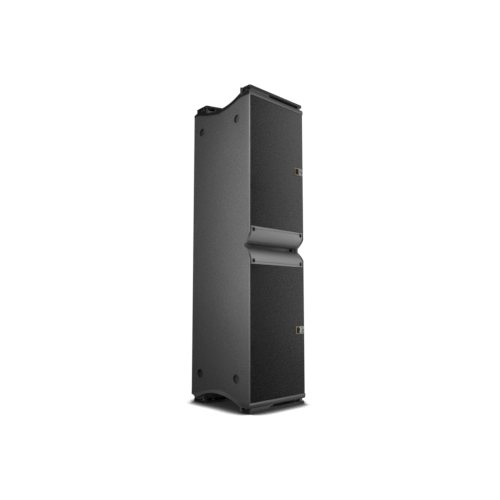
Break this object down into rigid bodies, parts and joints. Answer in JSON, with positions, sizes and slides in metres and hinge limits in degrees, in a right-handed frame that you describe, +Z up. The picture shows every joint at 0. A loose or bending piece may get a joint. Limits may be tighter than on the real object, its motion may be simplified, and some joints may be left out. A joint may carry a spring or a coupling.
{
  "type": "line array speaker",
  "caption": "Tall line array enclosure on end: tapered cabinet, two grilles, hinged horn fins at the middle, link bars and latches in the end rails.",
  "frame": {"origin": "centre of the bounding box at the floor", "axes": "+Z up the long side as it stands, grilles face -Y, +X across the array height toward the side with the link sockets"},
  "size_m": [0.354, 0.4, 1.338],
  "materials": {
    "side_paint": "textured grey paint on plywood",
    "inner_ply": "dark painted plywood",
    "horn_paint": "satin grey",
    "cap_paint": "powder-coated grey",
    "rail_paint": "dark powder coat",
    "plated_steel": "zinc plated",
    "latch_black": "black oxide",
    "bolt_steel": "zinc plated",
    "grille_steel": "fine perforated, dark powder coat",
    "foam": "open-cell acoustic foam",
    "mesh_steel": "fine woven mesh, grey coat",
    "black_screw": "black oxide",
    "badge_brass": "aged brass",
    "driver_frame": "black powder coat",
    "magnet": "dark plated",
    "cone_pulp": "coated pulp",
    "surround_rubber": "matt",
    "port_plastic": "moulded black",
    "fitting_black": "moulded black",
    "cup_plastic": "grey, painted with the panel",
    "foot_rubber": "matt"
  },
  "bodies": {
    "cabinet": {"side_panel_left": "side_paint", "side_panel_right": "side_paint", "rear_panel": "side_paint", "end_panel_top": "inner_ply", "end_panel_bottom": "inner_ply", "woofer_baffle_upper": "inner_ply", "woofer_baffle_lower": "inner_ply", "mid_baffle_upper": "inner_ply", "mid_baffle_lower": "inner_ply", "partition_upper": "inner_ply", "partition_lower": "inner_ply", "horn_frame": "horn_paint", "end_cap_top": "cap_paint", "end_cap_bottom": "cap_paint", "front_rail_top": "rail_paint", "front_rail_bottom": "rail_paint", "rear_rail_top": "rail_paint", "rear_rail_bottom": "rail_paint", "rail_spacers_top": "cap_paint", "rail_spacers_bottom": "cap_paint", "rail_bolts": "bolt_steel", "grille_upper": "grille_steel", "grille_lower": "grille_steel", "grille_foams": "foam", "fin_pins": "bolt_steel", "slot_mesh": "mesh_steel", "badges": "badge_brass", "woofer_frame_upper": "driver_frame", "woofer_frame_lower": "driver_frame", "woofer_magnets": "magnet", "woofer_surround_upper": "surround_rubber", "woofer_surround_lower": "surround_rubber", "mid_frames_upper": "driver_frame", "mid_frames_lower": "driver_frame", "port_tubes": "port_plastic", "waveguides": "port_plastic", "hf_drivers": "magnet", "connector_plate": "fitting_black", "connectors": "plated_steel", "rear_handles": "fitting_black", "recess_cups": "cup_plastic", "side_feet": "foot_rubber"},
    "fin_upper": {"fin_upper": "horn_paint", "fin_screws_upper": "black_screw"},
    "fin_lower": {"fin_lower": "horn_paint", "fin_screws_lower": "black_screw"},
    "front_link_top": {"front_link_top": "plated_steel"},
    "front_link_bottom": {"front_link_bottom": "plated_steel"},
    "rear_link_top": {"rear_link_top": "plated_steel"},
    "rear_link_bottom": {"rear_link_bottom": "plated_steel"},
    "front_latch_top": {"front_latch_top": "latch_black"},
    "front_latch_bottom": {"front_latch_bottom": "latch_black"},
    "rear_latch_top": {"rear_latch_top": "latch_black"},
    "rear_latch_bottom": {"rear_latch_bottom": "latch_black"},
    "woofer_cone_upper": {"woofer_cone_upper": "cone_pulp"},
    "woofer_cone_lower": {"woofer_cone_lower": "cone_pulp"},
    "mid_cone_upper_left": {"mid_cone_upper_left": "cone_pulp"},
    "mid_cone_upper_right": {"mid_cone_upper_right": "cone_pulp"},
    "mid_cone_lower_left": {"mid_cone_lower_left": "cone_pulp"},
    "mid_cone_lower_right": {"mid_cone_lower_right": "cone_pulp"}
  },
  "joints": [
    {"name": "fin_upper_hinge", "type": "hinge", "parent": "cabinet", "child": "fin_upper", "pos_m": [0, -0.166, 0.6825], "axis": [1, 0, 0], "range_deg": [0, 20]},
    {"name": "fin_lower_hinge", "type": "hinge", "parent": "cabinet", "child": "fin_lower", "pos_m": [0, -0.166, 0.6555], "axis": [-1, 0, 0], "range_deg": [0, 20]},
    {"name": "front_link_top_slide", "type": "slide", "parent": "cabinet", "child": "front_link_top", "axis": [-1, 0, 0], "range_m": [0, 0.088]},
    {"name": "rear_link_top_slide", "type": "slide", "parent": "cabinet", "child": "rear_link_top", "axis": [-1, 0, 0], "range_m": [0, 0.13]},
    {"name": "front_link_bottom_slide", "type": "slide", "parent": "cabinet", "child": "front_link_bottom", "axis": [-1, 0, 0], "range_m": [0, 0.088]},
    {"name": "rear_link_bottom_slide", "type": "slide", "parent": "cabinet", "child": "rear_link_bottom", "axis": [-1, 0, 0], "range_m": [0, 0.13]},
    {"name": "front_latch_top_pull", "type": "slide", "parent": "cabinet", "child": "front_latch_top", "axis": [0, 1, 0], "range_m": [0, 0.012], "stiffness_N_per_m": 400, "springref_m": -0.01},
    {"name": "rear_latch_top_pull", "type": "slide", "parent": "cabinet", "child": "rear_latch_top", "axis": [0, -1, 0], "range_m": [0, 0.012], "stiffness_N_per_m": 400, "springref_m": -0.01},
    {"name": "front_latch_bottom_pull", "type": "slide", "parent": "cabinet", "child": "front_latch_bottom", "axis": [0, 1, 0], "range_m": [0, 0.012], "stiffness_N_per_m": 400, "springref_m": -0.01},
    {"name": "rear_latch_bottom_pull", "type": "slide", "parent": "cabinet", "child": "rear_latch_bottom", "axis": [0, -1, 0], "range_m": [0, 0.012], "stiffness_N_per_m": 400, "springref_m": -0.01},
    {"name": "woofer_upper_travel", "type": "slide", "parent": "cabinet", "child": "woofer_cone_upper", "axis": [0, 1, 0], "range_m": [-0.008, 0.008], "stiffness_N_per_m": 5000, "deforming": ["woofer_surround_upper"]},
    {"name": "woofer_lower_travel", "type": "slide", "parent": "cabinet", "child": "woofer_cone_lower", "axis": [0, 1, 0], "range_m": [-0.008, 0.008], "stiffness_N_per_m": 5000, "deforming": ["woofer_surround_lower"]},
    {"name": "mid_upper_left_travel", "type": "slide", "parent": "cabinet", "child": "mid_cone_upper_left", "axis": [0, 0.9781, 0.2079], "range_m": [-0.003, 0.003], "stiffness_N_per_m": 3000},
    {"name": "mid_upper_right_travel", "type": "slide", "parent": "cabinet", "child": "mid_cone_upper_right", "axis": [0, 0.9781, 0.2079], "range_m": [-0.003, 0.003], "stiffness_N_per_m": 3000},
    {"name": "mid_lower_left_travel", "type": "slide", "parent": "cabinet", "child": "mid_cone_lower_left", "axis": [0, 0.9781, -0.2079], "range_m": [-0.003, 0.003], "stiffness_N_per_m": 3000},
    {"name": "mid_lower_right_travel", "type": "slide", "parent": "cabinet", "child": "mid_cone_lower_right", "axis": [0, 0.9781, -0.2079], "range_m": [-0.003, 0.003], "stiffness_N_per_m": 3000}
  ]
}
